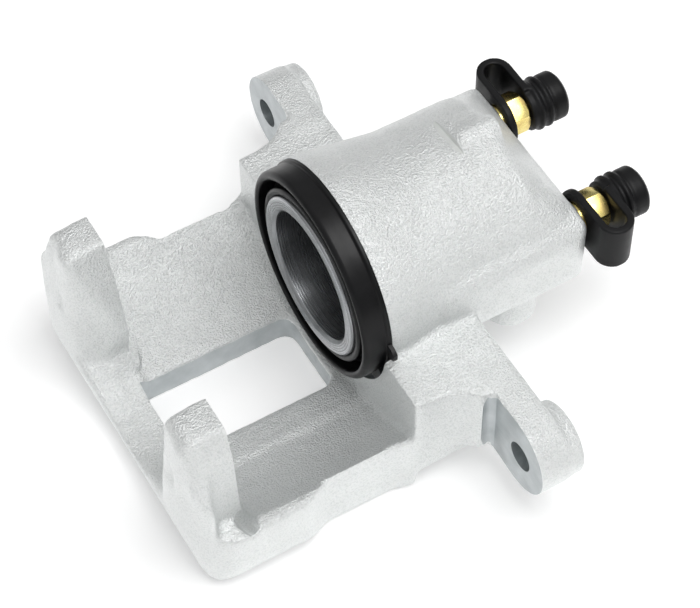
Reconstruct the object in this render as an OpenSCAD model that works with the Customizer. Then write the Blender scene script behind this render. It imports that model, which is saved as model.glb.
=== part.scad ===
// Floating single-piston disc brake caliper.
// X runs along the piston, +X towards the closed end of the cylinder and -X towards the fingers.
// Y runs along the line of the two guide pins and +Z points away from the bridge.
// The origin is the centre of the piston's front face.

/* [Piston] */
// Diameter of the piston
piston_d = 48; // [42:1:54]
// Wall of the piston's cup
cup_wall = 4.5; // [3.5:0.5:9]
// Depth of the piston's cup
cup_depth = 40; // [25:1:44]
// Length of the piston
piston_len = 50; // [46:1:52]
// Chamfer on the piston's rear edge
piston_chamfer = 1.2; // [0.5:0.1:2]
// Distance from the piston's front face to its boot groove
boot_groove_x = 2; // [1.5:0.1:3]
// Width of the piston's boot groove
boot_groove_w = 3; // [2:0.1:3.5]
// Depth of the piston's boot groove
boot_groove_depth = 0.9; // [0.5:0.1:1.2]

/* [Cylinder] */
// Radial running clearance of the piston in its bore
bore_clearance = 0.05; // [0.02:0.01:0.08]
// Wall of the cylinder
barrel_wall = 4.95; // [4:0.05:8]
// Height of the collar round the cylinder's mouth
collar_h = 3.3; // [1:0.1:5]
// Length of the collar, where it blends into the barrel
collar_len = 26; // [10:1:30]
// Length of the collar at its full height
collar_flat = 3.9; // [2:0.1:6]
// How far the cylinder's mouth lies behind the piston's front face
mouth_x = 8; // [7:0.5:10]
// Free length of the bore behind the piston at rest
bore_spare = 7; // [4:0.5:8]
// Length of the full round barrel behind the bore's end
barrel_overrun = 1; // [0.5:0.5:4]
// Depth of the locating notch on top of the cylinder
notch_depth = 0.8; // [0.6:0.1:2]
// Distance from the bore's closed end to the locating notch
notch_from_end = 10; // [8:0.5:14]

/* [Piston seal] */
// Distance from the cylinder's mouth to the seal groove
seal_groove_x = 12; // [9:0.5:16]
// Width of the seal groove
seal_groove_w = 3.4; // [3:0.1:4]
// Depth of the seal groove
seal_groove_depth = 2.6; // [2:0.1:3]
// Clearance between the seal and its groove's sides
seal_side_clearance = 0.1; // [0.05:0.05:0.2]
// Radial clearance between the seal and the piston
seal_clearance = 0.03; // [0.01:0.01:0.08]

/* [Dust boot] */
// How far the boot's skirt stands outside the bore
boot_h = 7.45; // [6.5:0.05:9]
// Wall of the boot's skirt
boot_skirt_wall = 2.5; // [1.5:0.1:3]
// Wall of the collar that grips the piston
boot_collar_wall = 2.4; // [1.5:0.1:3]
// Thickness of the boot's floor, behind its groove
boot_floor = 1.7; // [1:0.1:2.5]
// How far the boot's inner collar lies behind its front rim
boot_collar_step = 0.8; // [0.4:0.1:1.5]
// Radial thickness of the bead in the casting
boot_bead_wall = 2; // [1.5:0.1:2.5]
// Depth of the bead's seat in the casting
boot_seat_depth = 4.6; // [3:0.1:6]
// Outside radius of the bead's seat, measured from the bore
boot_seat_h = 4.95; // [4:0.05:5.5]
// Wall of the steel ring that holds the bead in its seat
boot_ring_wall = 1.2; // [0.8:0.1:1.6]
// Height of the boot's pull tab
boot_tab_h = 3.2; // [1.5:0.1:4]
// Thickness of the boot's pull tab
boot_tab_t = 3.2; // [1.5:0.1:4]
// Width of the boot's pull tab
boot_tab_w = 8; // [4:0.5:10]
// Clearance between rubber or ring and the parts that move past them
boot_clearance = 0.3; // [0.3:0.05:0.5]

/* [Guide ears] */
// Distance between the two guide pin holes
pin_spacing = 140; // [134:1:168]
// Diameter of the guide pin holes
pin_hole_d = 9; // [8:0.1:11]
// Height of the guide pin holes below the piston's axis
pin_drop = 17; // [15:0.5:19]
// Distance from the piston's front face to the ears' machined faces
ear_face_x = 25.5; // [24:0.5:28]
// Thickness of the ears
ear_t = 9.5; // [8:0.5:13]
// Height of the ears
ear_h = 26.6; // [24:0.2:29]
// Distance from the pin hole's centre to the ear's tip
ear_tip = 11; // [10:0.1:14]
// Diameter of the boss behind each ear
ear_boss_d = 21.6; // [18:0.2:24]
// Height of the boss behind each ear
ear_boss_h = 4.8; // [3:0.1:8]
// Where the machined face starts, inside the pin hole's centre
ear_face_reach = 14.3; // [13:0.1:16]
// Radius of the relief at the machined face's inner edge
ear_relief_r = 2.4; // [1.5:0.1:3]

/* [Body between the ears] */
// Width of the body at its front
saddle_w = 100; // [94:1:106]
// Distance from the piston's front face to the body's front wall
saddle_front_x = 5; // [4:0.5:7]
// Height of the body's top below the piston's axis
saddle_drop = 4; // [2:0.5:8]
// Where the body's underside starts to slope up to the ears
saddle_slope_x = 22.8; // [20:0.2:26]
// Radius of the concave flare from the body's side to the ear
flare_r = 15.8; // [12:0.2:20]
// Where the flare starts behind the piston's front face
flare_x = 10; // [8:0.5:12]

/* [Bridge] */
// Space between the dust boot and the bridge's inner surface at its middle
boot_space = 4.5; // [3:0.5:8]
// Thickness of the bridge at its middle
bridge_t = 8.5; // [7:0.5:11]
// Radius of the bridge's inner surface, over the disc's edge
disc_arc_r = 84; // [76:1:100]
// Width of the bridge's arms beside the fingers
arm_w = 105; // [98:1:108]
// Width of the bridge between the arms' waists
waist_w = 95.6; // [92:0.2:98]
// Distance from the piston's front face to where the arms narrow to the waist
waist_start = 29.8; // [26:0.2:34]
// Length over which the arms narrow to the waist
waist_taper = 7.8; // [5:0.2:12]
// Height of the arms' top edges below the piston's axis
arm_drop = 20; // [18:0.5:24]
// Radius of the bridge's lower outside edges
bridge_edge_r = 8; // [6:0.5:9]
// Width of the raised strip along the middle of the bridge's inner surface
pad_strip_w = 48.4; // [40:0.2:56]
// How far the strip stands up
pad_strip_h = 0.5; // [0.3:0.1:0.8]
// Width of the window in the bridge
window_w = 27; // [20:1:34]
// Radius of the window's rear corners
window_corner_r = 4; // [2:0.5:6]
// How far the window runs behind the piston's front face
window_rear_x = 0.5; // [-4:0.5:2]

/* [Fingers] */
// Gap between the piston's front face and the fingers' machined faces
disc_gap = 46.8; // [42:0.2:54]
// Thickness of the fingers
finger_t = 12.8; // [10:0.2:16]
// Height of the finger tips above the piston's axis
finger_top = 14; // [8:0.5:16]
// Distance between the fingers at their tips
notch_top_w = 58; // [52:1:62]
// Distance between the fingers at the narrowest place
notch_mid_w = 39; // [34:1:44]
// Width of each finger at its tip
finger_tip_w = 11; // [9:0.5:12]
// Radius of the corners where the arms meet the fingers
finger_corner_r = 13.5; // [8:0.5:16]
// Radius of the machining relief at the foot of the fingers' faces
finger_relief_r = 2.6; // [1.5:0.1:3]
// Distance between the middles of the two reliefs
relief_spacing = 90.2; // [84:0.2:94]
// Length of each relief
relief_len = 17.5; // [14:0.5:19]
// How far the fingers' outsides bulge past their tips
finger_bulge = 2; // [0:0.2:3]
// How much further apart the fingers are on their outsides than on their machined faces
notch_flare = 7; // [4:0.5:11]
// Depth of the scoop in each finger's outside
scoop_depth = 1.2; // [0.5:0.1:2]

/* [Rear block and ports] */
// Distance between the two bleed screws
bleed_spacing = 41; // [38:0.5:44]
// Height of the bleed screws above the piston's axis
bleed_rise = 0.5; // [-2:0.5:2]
// Distance from the bore's closed end to the rear face of the casting
rear_len = 17.7; // [17:0.1:20]
// Width of the rear block
rear_block_w = 62; // [60:1:66]
// Height of the rear block above the piston's axis
rear_block_top = 11; // [10:0.5:14]
// Height of the rear block below the piston's axis
rear_block_bottom = 17; // [13:0.5:19]
// Radius of the rear block's edges
rear_block_r = 8; // [6:0.5:10]
// Height of the slope at the top of the rear face
rear_chamfer_h = 9; // [6:0.5:10]
// Distance from the hose inlet to the bore's closed end
inlet_from_end = 3; // [2.5:0.5:12]
// Distance of the hose inlet from the middle of the casting
inlet_side = 20; // [19:0.2:21]
// Distance from the piston's axis to the inlet's sealing face
inlet_face = 27.5; // [27:0.5:30]
// Diameter of the boss round the inlet
inlet_boss_d = 16; // [14:0.5:18]
// Depth of the inlet's thread
inlet_thread_depth = 7.5; // [6:0.5:8]

/* [Bleed screws and caps] */
// Radius of the bleed and inlet threads, halfway up their flanks
thread_r = 4.55; // [4.2:0.05:4.8]
// Clearance of the bleed screw in its thread
thread_clearance = 0.05; // [0.02:0.01:0.08]
// Length of the bleed screw's thread inside the casting
bleed_thread_len = 13; // [10:0.5:14]
// Diameter of the fluid passages
passage_d = 3.5; // [2.5:0.1:4]
// Width across the flats of the bleed screw's hexagon
hex_af = 11; // [10:0.5:12]
// Length of the hexagon
hex_len = 5.3; // [4:0.1:7]
// Radius of the hose nipple
nipple_r = 3.2; // [2.8:0.1:3.4]
// Length of the hose nipple
nipple_len = 9; // [8:0.5:10]
// Diameter of the drilling in the bleed screw
bleed_drill_d = 2.5; // [1.5:0.1:3]
// Wall of the rubber strap and its ring
strap_wall = 2.2; // [1.5:0.1:2.6]
// Width of the rubber strap
strap_w = 16; // [14:0.5:17]
// Distance from the screw's axis to where the strap starts its turn
strap_straight = 10.5; // [9:0.5:11]
// Radius of the cap
cap_r = 6.9; // [5.5:0.1:7.2]
// Height of the cap's ribs
cap_rib_h = 0.9; // [0.4:0.1:1.2]
// Length of the cap from the strap to its end
cap_len = 12.3; // [11:0.1:13]
// Clearance round the screw inside the rubber
cap_clearance = 0.3; // [0.3:0.05:0.5]

/* [Hidden] */

// A cut runs past the surface it opens by this much
past = 1;
// Facets of round shapes, which carry over as true curves, and of the children of a hull
round_fn = 96;
hull_fn = 32;
$fn = round_fn;

piston_r = piston_d / 2;
cup_r = piston_r - cup_wall;
bore_r = piston_r + bore_clearance;
barrel_r = bore_r + barrel_wall;
collar_r = barrel_r + collar_h;
bore_end_x = piston_len + bore_spare;
barrel_end_x = bore_end_x + barrel_overrun;
rear_x = bore_end_x + rear_len;
finger_x = -disc_gap;
outer_x = finger_x - finger_t;
ear_back_x = ear_face_x + ear_t;
ear_tip_y = pin_spacing / 2 + ear_tip;
ear_face_y = pin_spacing / 2 - ear_face_reach;
boot_seat_r = bore_r + boot_seat_h;
boot_r = bore_r + boot_h;
bridge_z = -boot_r - boot_space;
bridge_out_z = bridge_z - bridge_t;
arc_z = bridge_z + disc_arc_r;

// How far the rear face leans forward for each millimetre of its height
rear_slope = 0.41;

SIDES = [-1, 1];

// ---- placing helpers ----

// Extrudes a (Y, Z) outline from x0 to x1
module along_x(x0, x1) {
    translate([x0, 0, 0]) rotate([90, 0, 90]) linear_extrude(x1 - x0) children();
}

// Extrudes an (X, Z) outline over the width w, centred on the middle plane
module across_y(w) {
    rotate([90, 0, 0]) linear_extrude(w, center = true) children();
}

// Turns an outline of (radius, X) points round the piston's axis
module turn_about_x() {
    rotate([0, 90, 0]) rotate_extrude() children();
}

// A round bar of radius r along X from x0 to x1
module bar_x(r, x0, x1) {
    translate([x0, 0, 0]) rotate([0, 90, 0]) cylinder(r = r, h = x1 - x0);
}

// A cone along X from radius r0 at x0 to radius r1 at x1
module cone_x(r0, r1, x0, x1) {
    translate([x0, 0, 0]) rotate([0, 90, 0]) cylinder(r1 = r0, r2 = r1, h = x1 - x0);
}

// A ring along X from x0 to x1
module ring_x(r_out, r_in, x0, x1) {
    turn_about_x() translate([r_in, x0]) square([r_out - r_in, x1 - x0]);
}

// Puts its children on the bleed screw's axis, side -1 or 1
module at_bleed(side) {
    translate([0, side * bleed_spacing / 2, bleed_rise]) children();
}

// ---- the casting ----

// Full height of the cylinder's outside, with the collar round its mouth
module barrel() {
    turn_about_x() polygon([[0, mouth_x], [collar_r, mouth_x], [collar_r, mouth_x + collar_flat],
        [barrel_r, mouth_x + collar_len], [barrel_r, barrel_end_x], [0, barrel_end_x]]);
}

// Outline of the rear block, seen from behind
module rear_block_outline(inset = 0) {
    r = rear_block_r;
    half_w = rear_block_w / 2 - inset;
    top = rear_block_top - inset;
    bottom = rear_block_bottom - inset;
    for (y = [r - half_w, half_w - r]) {
        for (z = [r - bottom, top - r]) translate([y, z]) circle(r);
    }
    translate([-half_w, r - bottom]) square([2 * half_w, top + bottom - 2 * r]);
    translate([r - half_w, -bottom]) square([2 * (half_w - r), top + bottom]);
}

// Plan of the rear block, with rounded rear corners
module rear_block_plan() {
    r = rear_block_r;
    half_w = rear_block_w / 2;
    translate([ear_face_x, -half_w]) square([rear_x - r - ear_face_x, rear_block_w]);
    translate([ear_face_x, r - half_w]) square([rear_x - ear_face_x, rear_block_w - 2 * r]);
    for (s = SIDES) translate([rear_x - r, s * (half_w - r)]) circle(r);
}

// Side view of the rear block, sloped at the top of its rear face
module rear_block_side() {
    slope_x = rear_chamfer_h * rear_slope;
    polygon([[ear_face_x, -rear_block_bottom], [rear_x - 2, -rear_block_bottom],
        [rear_x, 2 - rear_block_bottom], [rear_x, rear_block_top - rear_chamfer_h],
        [rear_x - slope_x, rear_block_top], [ear_face_x, rear_block_top]]);
}

// The block that carries the bleed screws, and the slope from the barrel down to it
module rear_block() {
    slope_end_x = rear_x - rear_chamfer_h * rear_slope - past;
    intersection() {
        along_x(ear_face_x, rear_x) rear_block_outline();
        translate([0, 0, -rear_block_bottom]) linear_extrude(rear_block_bottom + rear_block_top)
            rear_block_plan();
        across_y(rear_block_w) rear_block_side();
    }
    hull() {
        bar_x(barrel_r, barrel_end_x - past, barrel_end_x, $fn = hull_fn);
        along_x(slope_end_x, slope_end_x + past) rear_block_outline(past, $fn = hull_fn);
    }
}

// Raised rib on top of the cylinder, from the locating notch to the slope
module top_rib() {
    rib_r = 4;
    rotate([-3, 0, 0]) translate([0, 0, barrel_r + 1.2 - rib_r])
        bar_x(rib_r, bore_end_x - notch_from_end + 2, barrel_end_x + 3);
}

// Milled notch across the top of the cylinder
module locating_notch() {
    x = bore_end_x - notch_from_end;
    z = barrel_r - notch_depth;
    rotate([-7, 0, 0]) across_y(barrel_r)
        polygon([[x - 7, barrel_r + 0.2], [x - 1, z], [x, z], [x + notch_depth * 1.3, barrel_r + 0.1],
            [x + notch_depth * 1.3, barrel_r + 3], [x - 7, barrel_r + 3]]);
}

// Boss for the brake hose, under the closed end of the cylinder
module inlet_boss() {
    translate([bore_end_x - inlet_from_end, -inlet_side, -inlet_face])
        cylinder(d = inlet_boss_d, h = inlet_face - barrel_wall);
}

// Plan of the bridge, arms and body, from the fingers to the ears
module body_plan() {
    waist_front_x = -waist_start;
    waist_x = waist_taper - waist_start;
    translate([finger_x - past, -arm_w / 2]) square([waist_front_x - finger_x + past, arm_w]);
    polygon([[waist_front_x, -arm_w / 2], [waist_x, -waist_w / 2], [waist_x, waist_w / 2],
        [waist_front_x, arm_w / 2]]);
    translate([waist_x, -waist_w / 2]) square([ear_back_x - waist_x, waist_w]);
    difference() {
        polygon([[-past, -waist_w / 2], [saddle_front_x, -saddle_w / 2], [flare_x, -saddle_w / 2],
            [flare_x, -ear_face_y], [ear_back_x, -ear_face_y], [ear_back_x, ear_face_y],
            [flare_x, ear_face_y], [flare_x, saddle_w / 2], [saddle_front_x, saddle_w / 2],
            [-past, waist_w / 2]]);
        for (s = SIDES) translate([flare_x, s * (saddle_w / 2 + flare_r)]) circle(flare_r);
    }
}

// Section of the bridge and arms: curved inside over the disc, flat outside
module bridge_section() {
    r = bridge_edge_r;
    side_y = arm_w / 2;
    difference() {
        union() {
            translate([-side_y, bridge_out_z + r]) square([2 * side_y, -arm_drop - bridge_out_z - r]);
            translate([r - side_y, bridge_out_z]) square([2 * (side_y - r), -arm_drop - bridge_out_z]);
            for (s = SIDES) translate([s * (side_y - r), bridge_out_z + r]) circle(r);
        }
        translate([0, arc_z]) circle(disc_arc_r, $fn = 2 * round_fn);
    }
}

// The raised strip along the middle of the bridge's inner surface
module pad_strip() {
    base_z = bridge_z - past;
    along_x(finger_x - past, saddle_front_x) difference() {
        translate([-pad_strip_w / 2, base_z]) square([pad_strip_w, pad_strip_w / 4]);
        translate([0, arc_z]) circle(disc_arc_r - pad_strip_h, $fn = 2 * round_fn);
    }
}

// The bridge over the disc, with its window
module bridge() {
    intersection() {
        along_x(finger_x - past, saddle_front_x + past) bridge_section();
        translate([0, 0, bridge_out_z]) linear_extrude(-bridge_out_z) body_plan();
    }
}

// Side view of the body between the ears
module saddle_side() {
    polygon([[saddle_front_x, bridge_out_z], [saddle_slope_x, bridge_out_z],
        [ear_back_x, -pin_drop - ear_h / 2], [ear_back_x, -saddle_drop], [saddle_front_x, -saddle_drop]]);
}

// Front view of the body between the ears, with rounded lower edges
module saddle_front() {
    r = bridge_edge_r + 3;
    half_w = saddle_w / 2;
    ear_bottom = -pin_drop - ear_h / 2;
    translate([-half_w, bridge_out_z + r]) square([2 * half_w, -saddle_drop - bridge_out_z - r]);
    translate([r - half_w, bridge_out_z]) square([2 * (half_w - r), r]);
    translate([-ear_face_y, ear_bottom]) square([2 * ear_face_y, -saddle_drop - ear_bottom]);
    for (s = SIDES) translate([s * (half_w - r), bridge_out_z + r]) circle(r);
}

// The body between the ears
module saddle() {
    intersection() {
        across_y(pin_spacing) saddle_side();
        translate([0, 0, bridge_out_z]) linear_extrude(-bridge_out_z) body_plan();
        along_x(saddle_front_x, ear_back_x) saddle_front();
    }
}

// One ear with its boss, side -1 or 1
module ear(side) {
    r = ear_h / 2;
    tip_y = ear_tip_y - r;
    along_x(ear_face_x, ear_back_x) {
        translate([side * tip_y, -pin_drop]) circle(r);
        translate([side > 0 ? saddle_w / 2 - past : -tip_y, -pin_drop - r])
            square([tip_y - saddle_w / 2 + past, ear_h]);
    }
    translate([0, side * pin_spacing / 2, -pin_drop])
        bar_x(ear_boss_d / 2, ear_face_x, ear_back_x + ear_boss_h);
}

// Front view of the fingers, down to the bridge
module fingers_outline() {
    tip_in = notch_top_w / 2;
    tip_out = tip_in + finger_tip_w;
    mid_in = notch_mid_w / 2;
    side_y = arm_w / 2;
    for (s = SIDES) {
        polygon([[s * tip_in, finger_top], [s * tip_out, finger_top], [s * (tip_out + 3.5), 3],
            [s * (side_y - 2), -7], [s * (side_y + 1), -18], [s * side_y, bridge_out_z + bridge_edge_r],
            [s * mid_in / 2, bridge_out_z + bridge_edge_r], [s * mid_in / 2, bridge_z + 1],
            [s * mid_in * 0.87, bridge_z + 4], [s * (mid_in + 2), bridge_z + 10],
            [s * mid_in, bridge_z + 20], [s * (mid_in + 4.5), 0]]);
    }
}

// Side view of the fingers and of the bridge's end below them
module fingers_side() {
    polygon([[finger_x, bridge_out_z], [outer_x + 2.5, bridge_out_z], [outer_x, bridge_out_z + 4],
        [outer_x - finger_bulge, bridge_z + 6], [outer_x - finger_bulge, bridge_z + 20],
        [outer_x - finger_bulge / 4, 2], [outer_x, finger_top - 2], [outer_x + 1.5, finger_top],
        [finger_x, finger_top]]);
}

// Plan of the fingers, with round outer corners
module fingers_plan() {
    r = finger_corner_r;
    side_y = arm_w / 2 + 1;
    far_x = outer_x - finger_bulge;
    translate([far_x, r - side_y]) square([finger_x - far_x, 2 * (side_y - r)]);
    translate([far_x + r, -side_y]) square([finger_x - far_x - r, 2 * side_y]);
    for (s = SIDES) translate([far_x + r, s * (side_y - r)]) circle(r);
}

// The two fingers that press on the outer pad, and the end of the bridge between them
module fingers() {
    intersection() {
        along_x(outer_x - finger_bulge, finger_x) union() {
            fingers_outline();
            bridge_section();
        }
        across_y(arm_w + 4) fingers_side();
        translate([0, 0, bridge_out_z]) linear_extrude(finger_top - bridge_out_z) fingers_plan();
    }
}

// The hollow in the outside of one finger, side -1 or 1
module finger_scoop(side) {
    scoop_r = 5;
    tip_y = notch_top_w / 2 + finger_tip_w * 0.75;
    translate([outer_x - scoop_r + scoop_depth, side * tip_y, finger_top]) rotate([0, -7, 0])
        translate([0, 0, -26]) cylinder(r = scoop_r, h = 27);
}

// Section of the notch between the fingers, half as wide as half_w at its middle
module notch_slice(x, half_w) {
    along_x(x, x + past)
        polygon([[-half_w * 0.5, bridge_z + 1.5], [half_w * 0.5, bridge_z + 1.5], [half_w, bridge_z + 9],
            [half_w, bridge_z + 20], [half_w + 4, finger_top + past], [-half_w - 4, finger_top + past],
            [-half_w, bridge_z + 20], [-half_w, bridge_z + 9]]);
}

// Widens the notch towards the outside of the fingers
module notch_draft() {
    half_w = notch_mid_w / 2;
    hull() {
        notch_slice(finger_x - past, half_w - 2);
        notch_slice(outer_x - finger_bulge - past, half_w + notch_flare);
    }
}

// Machining relief at the foot of each finger's face, along the disc's edge, side -1 or 1
module finger_relief(side) {
    y = relief_spacing / 2;
    tilt = asin(y / disc_arc_r);
    translate([finger_x, side * y, arc_z - sqrt(disc_arc_r * disc_arc_r - y * y)])
        rotate([90 + side * tilt, 0, 0]) cylinder(r = finger_relief_r, h = relief_len, center = true);
}

// The window, with square front corners and rounded rear ones
module window() {
    r = window_corner_r;
    half_w = window_w / 2;
    translate([0, 0, bridge_out_z - past]) linear_extrude(bridge_t + 2 * past + bridge_edge_r) {
        translate([finger_x, -half_w]) square([window_rear_x - r - finger_x, window_w]);
        translate([finger_x, r - half_w]) square([window_rear_x - finger_x, window_w - 2 * r]);
        for (s = SIDES) translate([window_rear_x - r, s * (half_w - r)]) circle(r);
    }
}

// What is turned out of the casting from its front: bore, seal groove and boot seat
module cylinder_cut() {
    bar_x(bore_r, mouth_x - past, bore_end_x);
    bar_x(boot_seat_r, mouth_x - past, mouth_x + boot_seat_depth);
    translate([mouth_x + seal_groove_x, 0, 0])
        ring_x(bore_r + seal_groove_depth, bore_r - past, 0, seal_groove_w);
    bar_x(collar_r, window_rear_x - past, mouth_x);
}

// One bleed port: thread, cone seat and the passage into the cylinder
module bleed_port() {
    seat_x = rear_x - bleed_thread_len;
    bar_x(thread_r, seat_x, rear_x + past);
    cone_x(passage_d / 2, thread_r, seat_x - thread_r + passage_d / 2, seat_x);
    bar_x(passage_d / 2, bore_end_x - past, seat_x);
}

// The hose inlet: thread, then the passage into the cylinder
module inlet_port() {
    translate([bore_end_x - inlet_from_end, -inlet_side, -inlet_face]) {
        translate([0, 0, -past]) cylinder(r = thread_r, h = inlet_thread_depth + past);
        cylinder(d = passage_d, h = inlet_face);
    }
}

// Milled face of one ear and the relief at its inner edge, side -1 or 1
module ear_face_cut(side) {
    cut = ear_tip_y;
    y0 = ear_face_y + ear_relief_r;
    z0 = bridge_out_z - past;
    h = -z0 + past;
    translate([ear_face_x - cut, side > 0 ? y0 : -y0 - cut, z0]) cube([cut, cut, h]);
    translate([ear_face_x - ear_relief_r, side * y0, z0]) cylinder(r = ear_relief_r, h = h);
    translate([ear_face_x - cut, side > 0 ? ear_face_y : -y0, z0])
        cube([cut - ear_relief_r, ear_relief_r, h]);
}

module caliper_body() {
    color("gainsboro") difference() {
        union() {
            barrel();
            rear_block();
            inlet_boss();
            bridge();
            pad_strip();
            saddle();
            fingers();
            for (s = SIDES) ear(s);
            top_rib();
        }
        cylinder_cut();
        window();
        locating_notch();
        notch_draft();
        inlet_port();
        for (s = SIDES) {
            ear_face_cut(s);
            at_bleed(s) bleed_port();
            finger_scoop(s);
            finger_relief(s);
            translate([0, s * pin_spacing / 2, -pin_drop])
                bar_x(pin_hole_d / 2, ear_face_x - past, ear_back_x + ear_boss_h + past);
        }
    }
}

// ---- the hydraulic parts ----

module piston() {
    r = piston_r;
    color("silver") difference() {
        turn_about_x() polygon([[0, 0], [r - 0.5, 0], [r, 0.5], [r, boot_groove_x],
            [r - boot_groove_depth, boot_groove_x], [r - boot_groove_depth, boot_groove_x + boot_groove_w],
            [r, boot_groove_x + boot_groove_w], [r, piston_len - piston_chamfer],
            [r - piston_chamfer, piston_len], [0, piston_len]]);
        bar_x(cup_r, -past, cup_depth);
    }
}

module piston_seal() {
    x0 = mouth_x + seal_groove_x + seal_side_clearance;
    color("dimgray")
        ring_x(bore_r + seal_groove_depth, piston_r + seal_clearance, x0,
            x0 + seal_groove_w - 2 * seal_side_clearance);
}

// Pull tab at the lower side of the boot, in front of the body
module boot_tab() {
    rotate([208, 0, 0])
        translate([saddle_front_x - boot_clearance - boot_tab_t, boot_r - past, -boot_tab_w / 2])
            cube([boot_tab_t, boot_tab_h + past, boot_tab_w]);
}

module dust_boot() {
    skirt_in = boot_r - boot_skirt_wall;
    collar_in = piston_r + boot_clearance;
    collar_out = collar_in + boot_collar_wall;
    floor_x = mouth_x - boot_floor;
    bead_in = boot_seat_r - boot_bead_wall;
    bead_end = mouth_x + boot_seat_depth;
    color("black") boot_tab();
    color("black") turn_about_x() polygon([[collar_in, boot_collar_step], [collar_out, boot_collar_step],
        [collar_out, floor_x], [skirt_in, floor_x], [skirt_in, 0], [boot_r, 0], [boot_r, mouth_x],
        [boot_seat_r, mouth_x], [boot_seat_r, bead_end], [bead_in, bead_end], [bead_in, mouth_x],
        [collar_in, mouth_x]]);
}

module boot_retaining_ring() {
    bead_in = boot_seat_r - boot_bead_wall;
    color("lightgray") ring_x(bead_in, bead_in - boot_ring_wall, mouth_x, mouth_x + boot_seat_depth);
}

module bleed_screw() {
    tip_r = passage_d / 2 + 0.4;
    shank_r = thread_r - thread_clearance;
    seat_x = rear_x - bleed_thread_len;
    tip_x = seat_x - shank_r + tip_r;
    hex_x = rear_x + strap_wall + 2 * thread_clearance + cap_clearance;
    nipple_x = hex_x + hex_len;
    drill_x = seat_x + 2;
    color("goldenrod") difference() {
        union() {
            cone_x(tip_r, shank_r, tip_x, seat_x);
            bar_x(shank_r, seat_x, hex_x);
            intersection() {
                bar_x(hex_af / sqrt(3), hex_x, nipple_x, $fn = 6);
                cone_x(hex_af / 2 + hex_len, hex_af / 2 * 1.02, hex_x, nipple_x);
            }
            bar_x(nipple_r - 0.6, nipple_x, nipple_x + nipple_len);
            cone_x(nipple_r, nipple_r - 0.8, nipple_x + nipple_len - 4, nipple_x + nipple_len);
        }
        bar_x(bleed_drill_d / 2, drill_x, nipple_x + nipple_len + past);
        translate([drill_x + bleed_drill_d / 2, 0, -shank_r - past])
            cylinder(d = bleed_drill_d * 0.8, h = 2 * (shank_r + past));
    }
}

module bleed_cap(side) {
    gap_x = rear_x + thread_clearance;
    in_len = 2 * cap_clearance + hex_len + thread_clearance + cap_clearance;
    bend_in = in_len / 2;
    bend_out = bend_in + strap_wall;
    mid_x = gap_x + bend_out;
    mouth = gap_x + strap_wall + in_len;
    shell_x = mouth + strap_wall;
    end_x = shell_x + cap_len - strap_wall;
    rib_w = 1.3;
    color("black") difference() {
        union() {
            bar_x(strap_w / 2, gap_x, gap_x + strap_wall);
            bar_x(strap_w / 2 - 1, mouth, shell_x);
            bar_x(cap_r, mouth, end_x - 1);
            bar_x(cap_r + cap_rib_h, shell_x, shell_x + rib_w);
            bar_x(cap_r + cap_rib_h, shell_x + 2.2 * rib_w, shell_x + 3.2 * rib_w);
            bar_x(cap_r + cap_rib_h / 2, shell_x + 4.2 * rib_w, end_x - 1);
            cone_x(cap_r + cap_rib_h / 2, cap_r - cap_rib_h, end_x - 1, end_x);
            difference() {
                translate([0, 0, -strap_w / 2]) linear_extrude(strap_w) {
                    translate([mid_x, side * strap_straight]) circle(bend_out);
                    translate([gap_x, side > 0 ? 0 : -strap_straight]) square([2 * bend_out, strap_straight]);
                }
                translate([0, 0, -strap_w / 2 - past]) linear_extrude(strap_w + 2 * past) {
                    translate([mid_x, side * strap_straight]) circle(bend_in);
                    translate([mid_x - bend_in, side > 0 ? -past : -strap_straight])
                        square([2 * bend_in, strap_straight + past]);
                }
            }
        }
        bar_x(thread_r + cap_clearance, gap_x - past, gap_x + strap_wall + past / 2);
        bar_x(nipple_r + cap_clearance, mouth - past / 2, end_x - strap_wall);
    }
}

module bleed_screw_left() { at_bleed(-1) bleed_screw(); }
module bleed_screw_right() { at_bleed(1) bleed_screw(); }
module bleed_cap_left() { at_bleed(-1) bleed_cap(-1); }
module bleed_cap_right() { at_bleed(1) bleed_cap(1); }

caliper_body();
piston();
piston_seal();
dust_boot();
boot_retaining_ring();
bleed_screw_left();
bleed_screw_right();
bleed_cap_left();
bleed_cap_right();
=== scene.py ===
import math
import bmesh
import bpy
from mathutils import Matrix, Vector, noise


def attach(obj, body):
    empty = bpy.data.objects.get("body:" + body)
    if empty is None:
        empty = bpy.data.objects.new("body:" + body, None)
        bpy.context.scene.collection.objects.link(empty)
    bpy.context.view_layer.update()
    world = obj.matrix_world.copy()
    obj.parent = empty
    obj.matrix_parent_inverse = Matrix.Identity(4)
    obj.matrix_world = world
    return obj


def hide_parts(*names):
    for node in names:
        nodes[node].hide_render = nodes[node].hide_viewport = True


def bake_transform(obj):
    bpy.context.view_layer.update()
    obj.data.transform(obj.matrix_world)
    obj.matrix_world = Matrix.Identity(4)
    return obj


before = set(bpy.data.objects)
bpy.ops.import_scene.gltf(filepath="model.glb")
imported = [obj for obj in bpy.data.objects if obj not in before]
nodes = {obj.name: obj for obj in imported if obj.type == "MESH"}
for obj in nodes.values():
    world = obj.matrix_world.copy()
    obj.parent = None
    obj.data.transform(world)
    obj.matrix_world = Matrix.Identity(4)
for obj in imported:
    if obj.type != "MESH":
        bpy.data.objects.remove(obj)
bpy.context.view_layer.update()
mm = 0.001
fullTurn = 2 * math.pi
print("frame loaded:", len(nodes), "parts")


def spot(x, y, z):  # a point given in millimetres
    return Vector((x, y, z)) * mm


def newObject(name, mesh):
    obj = bpy.data.objects.new(name, mesh)
    bpy.context.scene.collection.objects.link(obj)
    return obj


def meshFrom(name, bm):
    mesh = bpy.data.meshes.new(name)
    bm.to_mesh(mesh)
    bm.free()
    return newObject(name, mesh)


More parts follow.
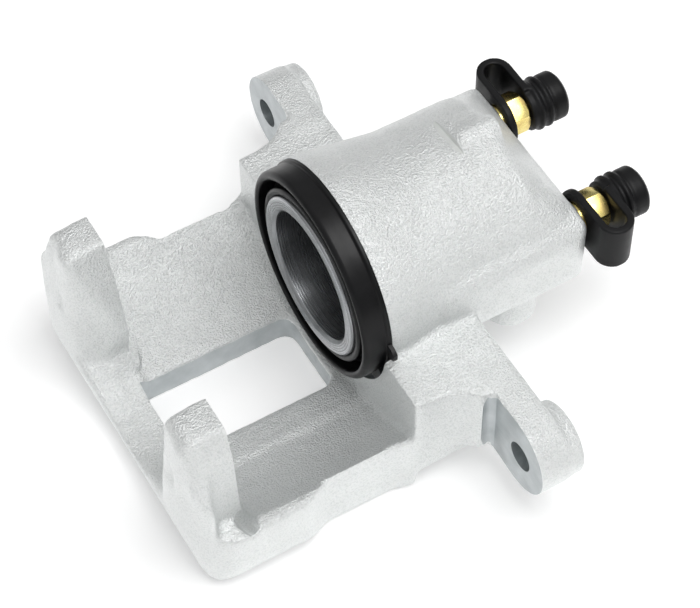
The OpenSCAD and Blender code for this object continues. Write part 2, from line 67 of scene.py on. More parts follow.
# profile is (x, radius) in mm, turned round the piston's axis
def lathe(profile, steps, closed=True):
    bm = bmesh.new()
    points = [bm.verts.new(spot(x, 0, r)) for x, r in profile]
    ends = points[1:] + points[:1] if closed else points[1:]
    lines = [bm.edges.new(pair) for pair in zip(points, ends)]
    bmesh.ops.spin(bm, geom=points + lines, cent=(0, 0, 0), axis=(1, 0, 0), angle=fullTurn,
                   steps=steps, use_merge=True)
    bmesh.ops.remove_doubles(bm, verts=bm.verts, dist=1e-6)
    bmesh.ops.recalc_face_normals(bm, faces=bm.faces)
    return bm


def roundOff(bm, width, segments=3, angle=25, where=None):  # rounds every edge sharper than angle
    edges = [e for e in bm.edges if len(e.link_faces) == 2
             and e.calc_face_angle(0) > math.radians(angle) and (where is None or where(e))]
    bmesh.ops.bevel(bm, geom=edges, offset=width * mm, segments=segments, profile=0.5,
                    affect="EDGES", material=-1, clamp_overlap=True)


def bar(bm, radius, start, end, segments=64):  # a round bar between two points in mm
    a, b = Vector(start), Vector(end)
    turn = (b - a).to_track_quat("Z", "Y").to_matrix().to_4x4()
    place = Matrix.Translation((a + b) / 2 * mm) @ turn
    bmesh.ops.create_cone(bm, cap_ends=True, segments=segments, radius1=radius * mm,
                          radius2=radius * mm, depth=(b - a).length * mm, matrix=place)


def block(bm, low, high):  # a box between two corners in mm
    low, high = Vector(low), Vector(high)
    size = high - low
    place = Matrix.Translation((low + high) / 2 * mm) @ Matrix.Diagonal((*(size * mm), 1))
    bmesh.ops.create_cube(bm, size=1, matrix=place)


def sliceOff(bm, point, normal, closed=True):  # drops what lies past a plane
    cut = bmesh.ops.bisect_plane(bm, geom=bm.verts[:] + bm.edges[:] + bm.faces[:], dist=1e-6,
                                 plane_co=point, plane_no=normal, clear_outer=True)
    if closed:
        rim = [g for g in cut["geom_cut"] if isinstance(g, bmesh.types.BMEdge)]
        bmesh.ops.edgeloop_fill(bm, edges=rim)
        bmesh.ops.recalc_face_normals(bm, faces=bm.faces)
    return bm


def bake(obj):  # puts the modifiers' result into the mesh
    graph = bpy.context.evaluated_depsgraph_get()
    mesh = bpy.data.meshes.new_from_object(obj.evaluated_get(graph))
    old = obj.data
    obj.modifiers.clear()
    obj.data = mesh
    bpy.data.meshes.remove(old)


def pushOut(bm, faces, step, keep=False):  # extrudes the faces by a step in metres
    grown = bmesh.ops.extrude_face_region(bm, geom=faces, use_keep_orig=keep)
    moved = [g for g in grown["geom"] if isinstance(g, bmesh.types.BMVert)]
    bmesh.ops.translate(bm, verts=moved, vec=step)


def dress(obj, *mats):  # the first material goes on every face
    obj.data.materials.clear()
    for m in mats:
        obj.data.materials.append(m)
    for p in obj.data.polygons:
        p.material_index = 0


# finish 1, the default, is the darker machined material, whose darkness is partly painted shade
def carve(obj, bm, name, finish=1):  # cuts a feature; its faces get the material number finish
    cutter = meshFrom(name, bm)
    for m in obj.data.materials:
        cutter.data.materials.append(m)
    for p in cutter.data.polygons:
        p.material_index = finish
    cut = obj.modifiers.new("cut", "BOOLEAN")
    cut.operation = "DIFFERENCE"
    cut.solver = "MANIFOLD"
    cut.object = cutter
    bake(obj)
    bpy.data.objects.remove(cutter)


def shade(obj, angle):
    obj.data.shade_smooth()
    obj.data.set_sharp_from_angle(angle=math.radians(angle))


def joinUp(obj, voxel):  # one closed skin over everything that overlaps
    skin = obj.modifiers.new("skin", "REMESH")
    skin.mode = "VOXEL"
    skin.voxel_size = voxel * mm
    bake(obj)


def relax(obj, passes, group=""):  # rounds the edges off a little more with each pass
    soft = obj.modifiers.new("soft", "SMOOTH")
    soft.factor = 0.5
    soft.iterations = passes
    soft.vertex_group = group
    bake(obj)


def mergedCopy(node):  # a CAD part's surface with its loose triangles joined up
    bm = bmesh.new()
    bm.from_mesh(nodes[node].data)
    bmesh.ops.remove_doubles(bm, verts=bm.verts, dist=1e-6)
    return bm


def newMaterial(name, color, metallic, roughness):
    mat = bpy.data.materials.new(name)
    mat.use_nodes = True
    shader = mat.node_tree.nodes["Principled BSDF"]
    shader.inputs["Base Color"].default_value = (*color, 1)
    shader.inputs["Metallic"].default_value = metallic
    shader.inputs["Roughness"].default_value = roughness
    mat.diffuse_color = (*color, 1)
    return mat, shader


def addNode(mat, kind, values=None, **settings):
    n = mat.node_tree.nodes.new(kind)
    for key, value in settings.items():
        setattr(n, key, value)
    for key, value in (values or {}).items():
        n.inputs[key].default_value = value
    return n


def wire(mat, a, b):
    mat.node_tree.links.new(a, b)


def ramp(mat, source, stops):
    n = addNode(mat, "ShaderNodeValToRGB")
    band = n.color_ramp
    band.elements[0].position, band.elements[0].color = stops[0][0], (*stops[0][1], 1)
    band.elements[1].position, band.elements[1].color = stops[-1][0], (*stops[-1][1], 1)
    for place, color in stops[1:-1]:
        band.elements.new(place).color = (*color, 1)
    wire(mat, source, n.inputs["Fac"])
    return n.outputs["Color"]


def grey(v):
    return (v, v, v)


def bump(mat, height, strength, distance, below=None):
    n = addNode(mat, "ShaderNodeBump", {"Strength": strength, "Distance": distance * mm})
    wire(mat, height, n.inputs["Height"])
    if below:
        wire(mat, below, n.inputs["Normal"])
    return n.outputs["Normal"]


def noiseOn(mat, coords, scale, detail=3, rough=0.5, distortion=0.0):
    n = addNode(mat, "ShaderNodeTexNoise", {"Scale": scale, "Detail": detail, "Roughness": rough,
                                            "Distortion": distortion})
    wire(mat, coords, n.inputs["Vector"])
    return n.outputs["Fac"]


castLook = {
    "light": (0.88, 0.895, 0.89),
    # the next colour goes in the grain's low spots: partly the skin's own tone, partly painted
    # shade in the bump's hollows
    "pitToneAndShade": (0.77, 0.79, 0.786),
    "metallic": 0.88,
    "rough": 0.4,
    "grainScale": 1850,    # noise cells a metre
    "fineScale": 3.1,      # times the grain's
    "patchScale": 55,
    "pitBand": (0.34, 0.52),
    "patchShade": 0.93,
    "gloss": (0.50, 0.30),  # roughness in the pits and on the tops
    "grainBump": 1.0, "fineBump": 0.3,
    "grainDepth": 0.58, "fineDepth": 0.08,  # mm
}


def castSkin():
    look = castLook
    mat, shader = newMaterial("castSkin", look["light"], look["metallic"], look["rough"])
    coords = addNode(mat, "ShaderNodeTexCoord").outputs["Object"]
    grain = noiseOn(mat, coords, look["grainScale"], 3, 0.55, 0.15)
    fine = noiseOn(mat, coords, look["grainScale"] * look["fineScale"], 2, 0.6)
    patch = noiseOn(mat, coords, look["patchScale"], 3, 0.5)
    # where the grain noise is low, which is where the bump sinks, the colour goes to the darker pit
    # colour: partly grain tone, partly painted shade in the hollows
    pitToneAndShadeMask = ramp(mat, grain, [(look["pitBand"][0], grey(0)), (look["pitBand"][1], grey(1))])
    tone = addNode(mat, "ShaderNodeMix", data_type="RGBA")
    tone.inputs[6].default_value = (*look["pitToneAndShade"], 1)
    tone.inputs[7].default_value = (*look["light"], 1)
    wire(mat, pitToneAndShadeMask, tone.inputs["Factor"])
    shadeOf = ramp(mat, patch, [(0.3, grey(look["patchShade"])), (0.7, grey(1))])
    mix = addNode(mat, "ShaderNodeMix", data_type="RGBA", blend_type="MULTIPLY")
    mix.inputs["Factor"].default_value = 1
    wire(mat, tone.outputs[2], mix.inputs[6])
    wire(mat, shadeOf, mix.inputs[7])
    wire(mat, mix.outputs[2], shader.inputs["Base Color"])
    gloss = ramp(mat, grain, [(0.35, grey(look["gloss"][0])), (0.65, grey(look["gloss"][1]))])
    wire(mat, gloss, shader.inputs["Roughness"])
    low = bump(mat, grain, look["grainBump"], look["grainDepth"])
    wire(mat, bump(mat, fine, look["fineBump"], look["fineDepth"], low), shader.inputs["Normal"])
    return mat


def machinedFace(name, dark, light):
    mat, shader = newMaterial(name, light, 0.75, 0.34)
    coords = addNode(mat, "ShaderNodeTexCoord").outputs["Object"]
    place = addNode(mat, "ShaderNodeMapping", {"Scale": (1, 0.06, 1)})
    wire(mat, coords, place.inputs["Vector"])
    lines = noiseOn(mat, place.outputs["Vector"], 2600, 2, 0.6)
    patch = noiseOn(mat, coords, 160, 3, 0.5)
    wire(mat, ramp(mat, patch, [(0.3, dark), (0.7, light)]), shader.inputs["Base Color"])
    wire(mat, ramp(mat, lines, [(0.3, grey(0.44)), (0.7, grey(0.28))]), shader.inputs["Roughness"])
    wire(mat, bump(mat, lines, 0.25, 0.03), shader.inputs["Normal"])
    return mat


def turnedSteel():
    mat, shader = newMaterial("turnedSteel", (0.40, 0.41, 0.43), 0.95, 0.27)
    coords = addNode(mat, "ShaderNodeTexCoord").outputs["Object"]
    split = addNode(mat, "ShaderNodeSeparateXYZ")
    wire(mat, coords, split.inputs["Vector"])
    flat = addNode(mat, "ShaderNodeCombineXYZ")
    wire(mat, split.outputs["Y"], flat.inputs["Y"])
    wire(mat, split.outputs["Z"], flat.inputs["Z"])
    radius = addNode(mat, "ShaderNodeVectorMath", operation="LENGTH")
    wire(mat, flat.outputs["Vector"], radius.inputs[0])
    # rings on the face, turns along the wall
    across = addNode(mat, "ShaderNodeMath", operation="ADD")
    wire(mat, radius.outputs["Value"], across.inputs[0])
    wire(mat, split.outputs["X"], across.inputs[1])
    place = addNode(mat, "ShaderNodeCombineXYZ")
    wire(mat, across.outputs["Value"], place.inputs["X"])
    rings = noiseOn(mat, place.outputs["Vector"], 2600, 2, 0.5)
    # painted shade: the cup's inside, inward of about 19.5 mm radius, gets the dark tone, and the
    # face and outer wall get the bright one
    cupShadeMask = ramp(mat, radius.outputs["Value"], [(0.01930, grey(1)), (0.01985, grey(0))])
    smear = noiseOn(mat, coords, 90, 4, 0.6)
    bright = ramp(mat, smear, [(0.25, (0.42, 0.43, 0.445)), (0.75, (0.56, 0.57, 0.59))])
    dark = ramp(mat, smear, [(0.3, (0.12, 0.125, 0.13)), (0.72, (0.34, 0.35, 0.36))])
    tone = addNode(mat, "ShaderNodeMix", data_type="RGBA")
    wire(mat, cupShadeMask, tone.inputs["Factor"])
    wire(mat, bright, tone.inputs[6])
    wire(mat, dark, tone.inputs[7])
    lines = addNode(mat, "ShaderNodeMix", data_type="RGBA", blend_type="MULTIPLY")
    lines.inputs["Factor"].default_value = 1
    wire(mat, tone.outputs[2], lines.inputs[6])
    wire(mat, ramp(mat, rings, [(0.38, grey(0.55)), (0.55, grey(1))]), lines.inputs[7])
    wire(mat, lines.outputs[2], shader.inputs["Base Color"])
    wire(mat, ramp(mat, rings, [(0.3, grey(0.36)), (0.7, grey(0.22))]), shader.inputs["Roughness"])
    wire(mat, bump(mat, rings, 0.5, 0.06), shader.inputs["Normal"])
    return mat


def rubber(name, color, rough, grainScale):
    mat, shader = newMaterial(name, color, 0, rough)
    shader.inputs["Specular IOR Level"].default_value = 0.22
    coords = addNode(mat, "ShaderNodeTexCoord").outputs["Object"]
    grain = noiseOn(mat, coords, grainScale, 3, 0.55)
    dust = noiseOn(mat, coords, 130, 4, 0.6)
    lighter = tuple(c * 1.9 for c in color)
    wire(mat, ramp(mat, dust, [(0.35, color), (0.85, lighter)]), shader.inputs["Base Color"])
    wire(mat, ramp(mat, dust, [(0.3, grey(rough - 0.06)), (0.7, grey(rough + 0.08))]),
         shader.inputs["Roughness"])
    wire(mat, bump(mat, grain, 0.25, 0.05), shader.inputs["Normal"])
    return mat


def yellowZinc():
    mat, shader = newMaterial("yellowZinc", (0.80, 0.62, 0.24), 1.0, 0.26)
    coords = addNode(mat, "ShaderNodeTexCoord").outputs["Object"]
    stain = noiseOn(mat, coords, 260, 4, 0.6, 0.5)
    lines = noiseOn(mat, coords, 2400, 2, 0.5)
    wire(mat, ramp(mat, stain, [(0.25, (0.62, 0.44, 0.18)), (0.5, (0.84, 0.68, 0.24)),
                                (0.8, (0.95, 0.84, 0.36))]), shader.inputs["Base Color"])
    wire(mat, ramp(mat, stain, [(0.3, grey(0.32)), (0.7, grey(0.2))]), shader.inputs["Roughness"])
    wire(mat, bump(mat, lines, 0.15, 0.02), shader.inputs["Normal"])
    return mat


castMat = castSkin()
# machinedFace's dark grey goes on the bore, pin holes, ear faces, inlet hole and window walls,
# which sit in recesses or face away from the light: its finish lines are real, its darkness is
# partly painted shade. platedFace is the same material in a light grey, for the notch on top
machinedFinishAndShadeMat = machinedFace("machinedFace", (0.40, 0.43, 0.44), (0.52, 0.55, 0.56))
platedMat = machinedFace("platedFace", (0.80, 0.82, 0.80), (0.90, 0.92, 0.90))
steelMat = turnedSteel()
bootMat = rubber("bootRubber", (0.004, 0.004, 0.0045), 0.34, 900)
capMat = rubber("capRubber", (0.004, 0.004, 0.0045), 0.42, 1400)
sealMat = rubber("sealRubber", (0.02, 0.02, 0.021), 0.5, 1200)
zincMat = yellowZinc()
print("materials ready")


# the casting

castingSpec = {
    "voxel": 0.85,         # mm, size of the skin's cells
    "rounding": 4,         # smoothing passes over the cast edges
    "fingerRounding": 36,  # and over the fingers' outsides
    "softX": (-51.0, -55.0),
    "pocketAt": (-45.5, 50.5), "pocketR": 10.5, "pocketZ": (-20.3, 5.0), "pocketInY": 45.6,
    "pocketLean": 0.1,
    "hollowR": 4.1, "hollowX": (-56.5, -57.7), "hollowY": 37.25,
    "hollowZ": (11.5, -13.0),
    "valleyR": 2.6, "valleyX": (-59.2, -63.6), "valleyZ": (16.0, -6.0),
    "windowX": (-48.0, 0.6), "windowHalf": 13.6, "windowR": 4.1, "windowZ": (-50.0, -33.0),
    "wobble": 0.10,        # mm, unevenness of the cast skin
    "wobbleSize": 2.6,     # mm
    "mouthX": 8.0, "boreEndX": 57.0, "boreR": 24.05, "seatR": 29.0, "seatEndX": 12.6,
    "sealX": (20.0, 23.4), "sealR": 26.65, "collarR": 32.3, "clearR": 33.3, "clearX": -0.5,
    "pinY": 70.0, "pinZ": -17.0, "pinR": 4.5, "earFaceX": 25.5, "earBackX": 39.8,
    "earFaceY": 55.7, "reliefR": 2.4, "earTipR": 13.3, "earTipY": 67.7,
    "earCutLen": 12.0, "earCutY": 90.0, "earCutZ": (-48.0, 4.0),
    "fingerX": -46.8, "footZ": -31.6, "arcZ": 48.0, "arcR": 84.0, "arcCutR": 83.7, "arcCutLen": 4.0,
    "sectionBack": 0.5, "plugLen": 2.6,
    "footR": 2.6, "footY": 45.1, "footLen": 17.5,
    "notchX": (43.6, 47.0), "notchZ": 27.9, "notchTilt": -7.0, "notchHalf": 14.5,
    "notchFall": 0.9, "notchWall": (0.9, 1.2), "notchTop": 5.0,
    "bleedY": 20.5, "bleedZ": 0.5, "threadR": 4.55, "rearX": 74.7, "rearFlat": 0.1,
    "bleedDepth": 13.0,
    "inletX": 54.0, "inletY": -20.0, "inletZ": -27.5, "inletDepth": 7.5,
    "sharpAngle": 42,      # degrees
    "fillOver": 0.6,       # mm, how far a filling reaches past its hole
}


def growFingers(bm):  # carries the fingers' section forward, past the face that is cut later
    c = castingSpec
    part = mergedCopy("caliper_body")
    everything = part.verts[:] + part.edges[:] + part.faces[:]
    cut = bmesh.ops.bisect_plane(part, geom=everything, dist=1e-6,
                                 plane_co=spot(c["fingerX"] - c["sectionBack"], 0, 0),
                                 plane_no=(1, 0, 0), clear_outer=True, clear_inner=True)
    rim = [g for g in cut["geom_cut"] if isinstance(g, bmesh.types.BMEdge)]
    bmesh.ops.triangle_fill(part, edges=rim, use_beauty=True, use_dissolve=False)
    part = sliceOff(part, spot(0, 0, c["footZ"]), (0, 0, -1), False)
    pushOut(part, part.faces[:], spot(c["plugLen"], 0, 0), True)
    bmesh.ops.recalc_face_normals(part, faces=part.faces)
    mesh = bpy.data.meshes.new("fingerPlug")
    part.to_mesh(mesh)
    part.free()
    bm.from_mesh(mesh)
    bpy.data.meshes.remove(mesh)


def pocketCutter(side):  # the flat ledge beside each finger, level with the arm's top
    c = castingSpec
    x, y = c["pocketAt"]
    z0, z1 = c["pocketZ"]
    bm = bmesh.new()
    bar(bm, c["pocketR"], (x, side * y, z0), (x, side * y, z1), 64)
    return sliceOff(bm, spot(0, side * c["pocketInY"], z0), (0, -side, -c["pocketLean"]))


def softenFingers(casting):  # the fingers' outsides have larger cast radii than the rest
    c = castingSpec
    x0, x1 = c["softX"]
    soft = casting.vertex_groups.new(name="soft")
    for v in casting.data.vertices:
        weight = (v.co.x / mm - x0) / (x1 - x0)
        if weight > 0:
            soft.add([v.index], min(1, weight), "REPLACE")
    relax(casting, c["fingerRounding"], soft.name)
    casting.vertex_groups.clear()


def makeCasting():
    c = castingSpec
    bm = mergedCopy("caliper_body")
    # the machined holes and faces are filled first, so that only cast edges get rounded
    over = c["fillOver"]
    bar(bm, c["collarR"], (c["mouthX"] - 2.5, 0, 0), (c["seatEndX"], 0, 0), 128)
    bar(bm, c["sealR"] + over, (c["mouthX"], 0, 0), (c["boreEndX"] + over, 0, 0), 128)
    for s in (-1, 1):
        bar(bm, c["pinR"] + over, (c["earFaceX"] - 1, s * c["pinY"], c["pinZ"]),
            (c["earBackX"] - 1, s * c["pinY"], c["pinZ"]))
        bar(bm, c["earTipR"], (c["earFaceX"] - 2.2, s * c["earTipY"], c["pinZ"]),
            (c["earFaceX"] + 2, s * c["earTipY"], c["pinZ"]), 96)
        bar(bm, c["threadR"] + over,
            (c["rearX"] - c["bleedDepth"] - 4, s * c["bleedY"], c["bleedZ"]),
            (c["rearX"] - c["rearFlat"], s * c["bleedY"], c["bleedZ"]))
    bar(bm, c["threadR"] + over, (c["inletX"], c["inletY"], c["inletZ"] + 0.1),
        (c["inletX"], c["inletY"], c["inletZ"] + c["inletDepth"] + 2))
    growFingers(bm)
    for s in (-1, 1):  # the hollows in the fingers' outsides are filled, then one is cut anew
        bar(bm, c["hollowR"], (c["hollowX"][0], s * c["hollowY"], c["hollowZ"][0]),
            (c["hollowX"][1], s * c["hollowY"], c["hollowZ"][1]))
    casting = meshFrom("casting", bm)
    dress(casting, castMat, machinedFinishAndShadeMat, platedMat)
    joinUp(casting, c["voxel"])
    for s in (-1, 1):
        carve(casting, pocketCutter(s), "pocketCutter", 0)
    bm = bmesh.new()
    top, foot = c["valleyZ"]
    bar(bm, c["valleyR"], (c["valleyX"][0], c["hollowY"], top),
        (c["valleyX"][1], c["hollowY"] + 1, foot), 48)
    carve(casting, bm, "valleyCutter", 0)
    joinUp(casting, c["voxel"])
    relax(casting, c["rounding"])
    softenFingers(casting)
    print("casting skin:", len(casting.data.polygons), "faces")

    normals = [v.normal.copy() for v in casting.data.vertices]
    for v, n in zip(casting.data.vertices, normals):
        height = noise.noise(v.co / (c["wobbleSize"] * mm)) * c["wobble"] * mm
        v.co += n * height
        v.co.x = min(v.co.x, (c["rearX"] - c["rearFlat"]) * mm)  # the caps' rings turn on this face
    return casting


def notchCutter():  # the locating notch: a flat step, a short wall and a run-out
    c = castingSpec
    x0, x1 = c["notchX"]
    z, y = c["notchZ"], c["notchHalf"]
    bm = bmesh.new()
    run, rise = c["notchWall"]
    top = z + c["notchTop"]
    outline = [(x0, z + c["notchFall"]), (x1, z), (x1 + run, z + rise), (x1 + run, top), (x0, top)]
    face = bm.faces.new([bm.verts.new(spot(px, -y, pz)) for px, pz in outline])
    pushOut(bm, [face], spot(0, 2 * y, 0))
    bmesh.ops.recalc_face_normals(bm, faces=bm.faces)
    tilt = Matrix.Rotation(math.radians(c["notchTilt"]), 3, "X")
    bmesh.ops.rotate(bm, verts=bm.verts, matrix=tilt)
    return bm


def machineCasting(casting):
    c = castingSpec
    profile = [(c["clearX"], 0), (c["clearX"], c["clearR"]), (c["mouthX"], c["clearR"]),
               (c["mouthX"], c["seatR"]), (c["seatEndX"], c["seatR"]),
               (c["seatEndX"], c["boreR"]), (c["sealX"][0], c["boreR"]),
               (c["sealX"][0], c["sealR"]), (c["sealX"][1], c["sealR"]),
               (c["sealX"][1], c["boreR"]), (c["boreEndX"], c["boreR"]), (c["boreEndX"], 0)]
    carve(casting, lathe(profile, 160, closed=False), "boreCutter")
    for s in (-1, 1):
        bm = bmesh.new()
        bar(bm, c["pinR"], (c["earFaceX"] - 5, s * c["pinY"], c["pinZ"]),
            (c["earBackX"] + 4, s * c["pinY"], c["pinZ"]))
        carve(casting, bm, "pinCutter")
        y0 = c["earFaceY"] + c["reliefR"]
        bm = bmesh.new()
        low, high = sorted((s * y0, s * c["earCutY"]))
        block(bm, (c["earFaceX"] - c["earCutLen"], low, c["earCutZ"][0]),
              (c["earFaceX"], high, c["earCutZ"][1]))
        carve(casting, bm, "earCutter")
        bm = bmesh.new()
        bar(bm, c["reliefR"], (c["earFaceX"] - c["reliefR"], s * y0, c["earCutZ"][0]),
            (c["earFaceX"] - c["reliefR"], s * y0, c["earCutZ"][1]), 48)
        carve(casting, bm, "reliefCutter")
        bm = bmesh.new()
        seat = c["rearX"] - c["bleedDepth"]
        bar(bm, c["threadR"], (seat, s * c["bleedY"], c["bleedZ"]),
            (c["rearX"] + 4, s * c["bleedY"], c["bleedZ"]))
        carve(casting, bm, "bleedCutter")
    bm = bmesh.new()
    bar(bm, c["threadR"], (c["inletX"], c["inletY"], c["inletZ"] - 4),
        (c["inletX"], c["inletY"], c["inletZ"] + c["inletDepth"]))
    carve(casting, bm, "inletCutter")
    bm = bmesh.new()
    bar(bm, c["arcCutR"], (c["fingerX"], 0, c["arcZ"]),
        (c["fingerX"] + c["arcCutLen"], 0, c["arcZ"]), 256)
    carve(casting, sliceOff(bm, spot(0, 0, c["footZ"] - 0.1), (0, 0, -1)), "fingerCutter", 0)
    for s in (-1, 1):
        y = s * c["footY"]
        z = c["arcZ"] - math.sqrt(c["arcR"] ** 2 - y ** 2)
        along = Vector((0, c["arcZ"] - z, y)).normalized() * c["footLen"] / 2
        middle = Vector((c["fingerX"], y, z))
        bm = bmesh.new()
        bar(bm, c["footR"], middle - along, middle + along, 48)
        carve(casting, bm, "footCutter", 0)
    carve(casting, notchCutter(), "notchCutter", 2)
    low, high = c["windowX"]
    bm = bmesh.new()
    block(bm, (low, -c["windowHalf"], c["windowZ"][0]), (high, c["windowHalf"], c["windowZ"][1]))
    corners = [e for e in bm.edges if all(v.co.x > 0 for v in e.verts)
               and abs(e.verts[0].co.z - e.verts[1].co.z) > mm]
    bmesh.ops.bevel(bm, geom=corners, offset=c["windowR"] * mm, segments=12, profile=0.5,
                    affect="EDGES", material=-1)
    carve(casting, bm, "windowCutter")
    shade(casting, c["sharpAngle"])
    print("casting machined:", len(casting.data.polygons), "faces")


casting = makeCasting()
machineCasting(casting)
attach(casting, "caliper")
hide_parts("caliper_body")


# the piston

pistonSpec = {
    "radius": 24.0, "cupR": 19.5, "depth": 40.0, "length": 50.0, "chamfer": 0.5, "cupChamfer": 0.9,
    "grooveX": (2.0, 5.0), "grooveR": 23.1, "tailChamfer": 1.2, "floorFillet": 2.5,
    "lineX": (26.4, 26.2, 25.6, 25.4), "lineDepth": 0.25,  # a turned line inside the cup
    "edgeRound": 0.14, "steps": 192,
}


def makePiston():
    p = pistonSpec
    r, cup, d = p["radius"], p["cupR"], p["depth"]
    line, deep = p["lineX"], cup + p["lineDepth"]
    profile = [(d, 0), (d, cup - p["floorFillet"]), (d - p["floorFillet"], cup), (line[0], cup),
               (line[1], deep), (line[2], deep), (line[3], cup), (p["cupChamfer"], cup),
               (0, cup + p["cupChamfer"]), (0, r - p["chamfer"]), (p["chamfer"], r),
               (p["grooveX"][0], r), (p["grooveX"][0], p["grooveR"]),
               (p["grooveX"][1], p["grooveR"]),
               (p["grooveX"][1], r), (p["length"] - p["tailChamfer"], r),
               (p["length"], r - p["tailChamfer"]), (p["length"], 0)]
    bm = lathe(profile, p["steps"], closed=False)
    roundOff(bm, p["edgeRound"], 2, 20, lambda e: max(v.co.x for v in e.verts) < 1.2 * mm)
    piston = meshFrom("pistonCup", bm)
    piston.data.materials.append(steelMat)
    shade(piston, 30)
    return piston


piston = makePiston()
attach(piston, "piston")
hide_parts("piston")
print("piston turned")


# the dust boot

bootSpec = {
    "outR": 31.4, "inR": 29.0, "rimX": 0.0, "mouthX": 8.0, "flangeR": 32.1, "flangeT": 1.1,
    "beadX": 12.4, "beadR": (27.05, 28.95), "floorX": 6.6, "floorR": 27.6,
    "collarR": (24.12, 26.7), "collarX": (0.8, 5.1), "foldX": (7.2, 5.2), "foldR": (25.2, 28.3),
    "folds": 3, "wall": 0.14, "steps": 144,
    "tabs": ((208, 7.5, 34.6, 2.6), (181, 5.0, 35.2, 1.2)),  # angle, width, tip radius, thickness
    "tabRootR": 30.6, "tabTip": 1.6,
}


def makeSkirt():
    b = bootSpec
    m, out, inner = b["mouthX"], b["outR"], b["inR"]
    profile = [(b["beadX"], b["beadR"][0]), (b["beadX"], b["beadR"][1]), (m, b["beadR"][1]),
               (m - 0.02, b["flangeR"]), (m - b["flangeT"], b["flangeR"]),
               (m - b["flangeT"] - 0.25, out),
               (3.6, out + 0.12), (1.2, out), (0.45, out - 0.5), (b["rimX"], out - 1.3),
               (0.35, inner - 0.05), (1.4, inner), (b["floorX"], inner + 0.2),
               (b["floorX"], b["floorR"]), (m - 0.1, b["floorR"] - 0.4)]
    bm = lathe(profile, b["steps"])
    roundOff(bm, 0.35, 2, 24, lambda e: max(v.co.x for v in e.verts) < 7.5 * mm)
    for angle, size, tip, thick in b["tabs"]:
        a = math.radians(angle)
        out3 = Vector((0, math.cos(a), math.sin(a)))
        side = Vector((0, -math.sin(a), math.cos(a)))
        x0 = m - 0.15 - thick
        base, shoulder = b["tabRootR"], tip - b["tabTip"]
        corner = [base * out3 - size / 2 * side, base * out3 + size / 2 * side,
                  shoulder * out3 + size * 0.46 * side, tip * out3 + size * 0.2 * side,
                  tip * out3 - size * 0.2 * side, shoulder * out3 - size * 0.46 * side]
        face = bm.faces.new([bm.verts.new((q + Vector((x0, 0, 0))) * mm) for q in corner])
        pushOut(bm, [face], spot(thick, 0, 0))
    bmesh.ops.recalc_face_normals(bm, faces=bm.faces)
    skirt = meshFrom("bootSkirt", bm)
    skirt.data.materials.append(bootMat)
    shade(skirt, 40)
    return skirt


def makeBellows():
    b = bootSpec
    c0, c1 = b["collarR"]
    x0, x1 = b["collarX"]
    start, end = b["foldX"]
    low, high = b["foldR"]
    pitch = (start - end) / (2 * b["folds"])
    outer = [(start - pitch * i, high if i % 2 == 0 else low) for i in range(2 * b["folds"] + 1)]
    outer[0] = (start, b["inR"] - 0.1)
    profile = [(x1, c0), (x0 + 0.5, c0), (x0, c0 + 0.5), (x0, c0 + 1.5), (x0 + 0.35, c0 + 2.1),
               (x0 + 1.3, c1 - 0.3), (x0 + 1.6, c1 - 0.45), (x0 + 2.0, c1 - 0.1), (x1 - 0.6, c1)]
    profile += [(x - b["wall"], r) for x, r in reversed(outer[1:])]
    profile += [(start - b["wall"], b["inR"] - 0.1), (start, b["inR"] - 0.1)]
    profile += outer[1:]
    bm = lathe(profile, b["steps"])
    bellows = meshFrom("bootBellows", bm)
    bellows.data.materials.append(bootMat)
    shade(bellows, 50)
    return bellows


skirt = makeSkirt()
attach(skirt, "caliper")
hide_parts("dust_boot")
bellows = makeBellows()
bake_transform(bellows)
print("dust boot made")


# bleed screws and caps

screwSpec = {"round": 0.18, "segments": 2, "angle": 28}
capSpec = {"voxel": 0.36, "rounding": 5}


def makeScrew(node):
    bm = mergedCopy(node)
    bmesh.ops.dissolve_limit(bm, angle_limit=math.radians(1), verts=bm.verts, edges=bm.edges)
    screw = meshFrom(node.replace("_", "-"), bm)
    dress(screw, zincMat)
    soft = screw.modifiers.new("soft", "BEVEL")
    soft.width = screwSpec["round"] * mm
    soft.segments = screwSpec["segments"]
    soft.limit_method = "ANGLE"
    soft.angle_limit = math.radians(screwSpec["angle"])
    soft.use_clamp_overlap = True
    bake(screw)
    shade(screw, 30)
    return screw


def makeCap(node):
    cap = meshFrom(node.replace("_", "-"), mergedCopy(node))
    dress(cap, capMat)
    joinUp(cap, capSpec["voxel"])
    relax(cap, capSpec["rounding"])
    shade(cap, 60)
    return cap


for side in ("left", "right"):
    screw = makeScrew("bleed_screw_" + side)
    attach(screw, "bleed_screw_" + side)
    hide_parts("bleed_screw_" + side)
    cap = makeCap("bleed_cap_" + side)
    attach(cap, "bleed_cap_" + side)
    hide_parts("bleed_cap_" + side)
print("bleed screws and caps made")

# the two hidden rings keep their CAD shape
for node, mat in (("piston_seal", sealMat), ("boot_retaining_ring", steelMat)):
    slots = nodes[node].data.materials
    if len(slots):
        slots[0] = mat
    else:
        slots.append(mat)


# floor, light and camera

studioSpec = {
    "floorZ": -44.7, "floorSize": 3.0, "floorColor": (0.93, 0.93, 0.93), "floorGlow": 0.2,
    "sky": 0.62, "azimuth": -27.97, "elevation": 53.88, "roll": -2.1, "distance": 0.6528,
    "lens": 121.87, "shift": (0.0606, -0.0383),
    "horizon": (0.28, 0.29, 0.295, 1), "zenith": (1, 1, 1, 1), "zenithAt": 0.7,
    "softboxes": {  # place, size, power in W
        "topBox": ((0.12, -0.28, 0.88), (0.6, 0.6), 5.1),
        "sideBox": ((-0.8, -0.2, 0.45), (0.5, 0.7), 0.3),
        "rimBox": ((0.8, 0.1, 0.35), (0.5, 0.7), 0.4),
    },
}


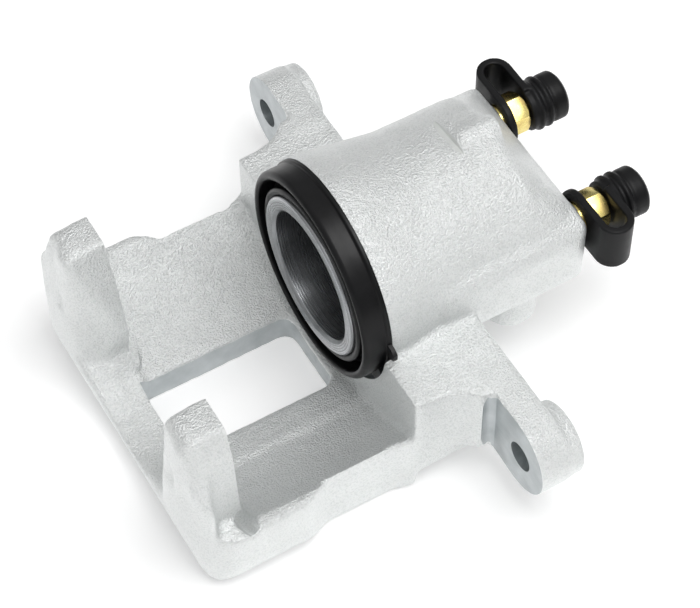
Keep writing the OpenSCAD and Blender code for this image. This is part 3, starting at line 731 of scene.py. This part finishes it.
def makeFloor():
    bm = bmesh.new()
    bmesh.ops.create_grid(bm, x_segments=1, y_segments=1, size=studioSpec["floorSize"] / 2,
                          matrix=Matrix.Translation((0, 0, studioSpec["floorZ"] * mm)))
    floor = meshFrom("floor", bm)
    mat, shader = newMaterial("paleFloor", studioSpec["floorColor"], 0, 0.7)
    shader.inputs["Emission Color"].default_value = (1, 1, 1, 1)
    shader.inputs["Emission Strength"].default_value = studioSpec["floorGlow"]
    floor.data.materials.append(mat)


def addSoftbox(name, place, size, power):  # points at the piston's face
    lamp = bpy.data.lights.new(name, "AREA")
    lamp.shape = "RECTANGLE"
    lamp.size, lamp.size_y = size
    lamp.energy = power
    obj = bpy.data.objects.new(name, lamp)
    obj.location = place
    obj.rotation_euler = Vector(place).to_track_quat("Z", "Y").to_euler()
    bpy.context.scene.collection.objects.link(obj)


def makeSky():  # dim at the horizon, bright overhead
    world = bpy.data.worlds.new("studio")
    world.use_nodes = True
    tree = world.node_tree
    sky = tree.nodes["Background"]
    sky.inputs["Strength"].default_value = studioSpec["sky"]
    heading = tree.nodes.new("ShaderNodeTexCoord")
    split = tree.nodes.new("ShaderNodeSeparateXYZ")
    fade = tree.nodes.new("ShaderNodeValToRGB")
    low, high = fade.color_ramp.elements
    low.position, low.color = 0.0, studioSpec["horizon"]
    high.position, high.color = studioSpec["zenithAt"], studioSpec["zenith"]
    tree.links.new(heading.outputs["Generated"], split.inputs["Vector"])
    tree.links.new(split.outputs["Z"], fade.inputs["Fac"])
    tree.links.new(fade.outputs["Color"], sky.inputs["Color"])
    bpy.context.scene.world = world


def addCamera():
    s = studioSpec
    a, e, roll = (math.radians(s[k]) for k in ("azimuth", "elevation", "roll"))
    back = Vector((math.sin(a) * math.cos(e), -math.cos(a) * math.cos(e), math.sin(e)))
    right = Vector((math.cos(a), math.sin(a), 0))
    up = back.cross(right)
    across = math.cos(roll) * right + math.sin(roll) * up
    above = -math.sin(roll) * right + math.cos(roll) * up
    data = bpy.data.cameras.new("camera")
    data.lens, data.sensor_width = s["lens"], 36
    data.shift_x, data.shift_y = s["shift"]
    camera = bpy.data.objects.new("camera", data)
    turn = Matrix((across, above, back)).transposed().to_4x4()
    camera.matrix_world = Matrix.Translation(back * s["distance"]) @ turn
    bpy.context.scene.collection.objects.link(camera)
    bpy.context.scene.camera = camera


makeFloor()
for name, (place, size, power) in studioSpec["softboxes"].items():
    addSoftbox(name, place, size, power)
makeSky()
bpy.context.scene.view_settings.view_transform = "Standard"
addCamera()
print("studio ready")
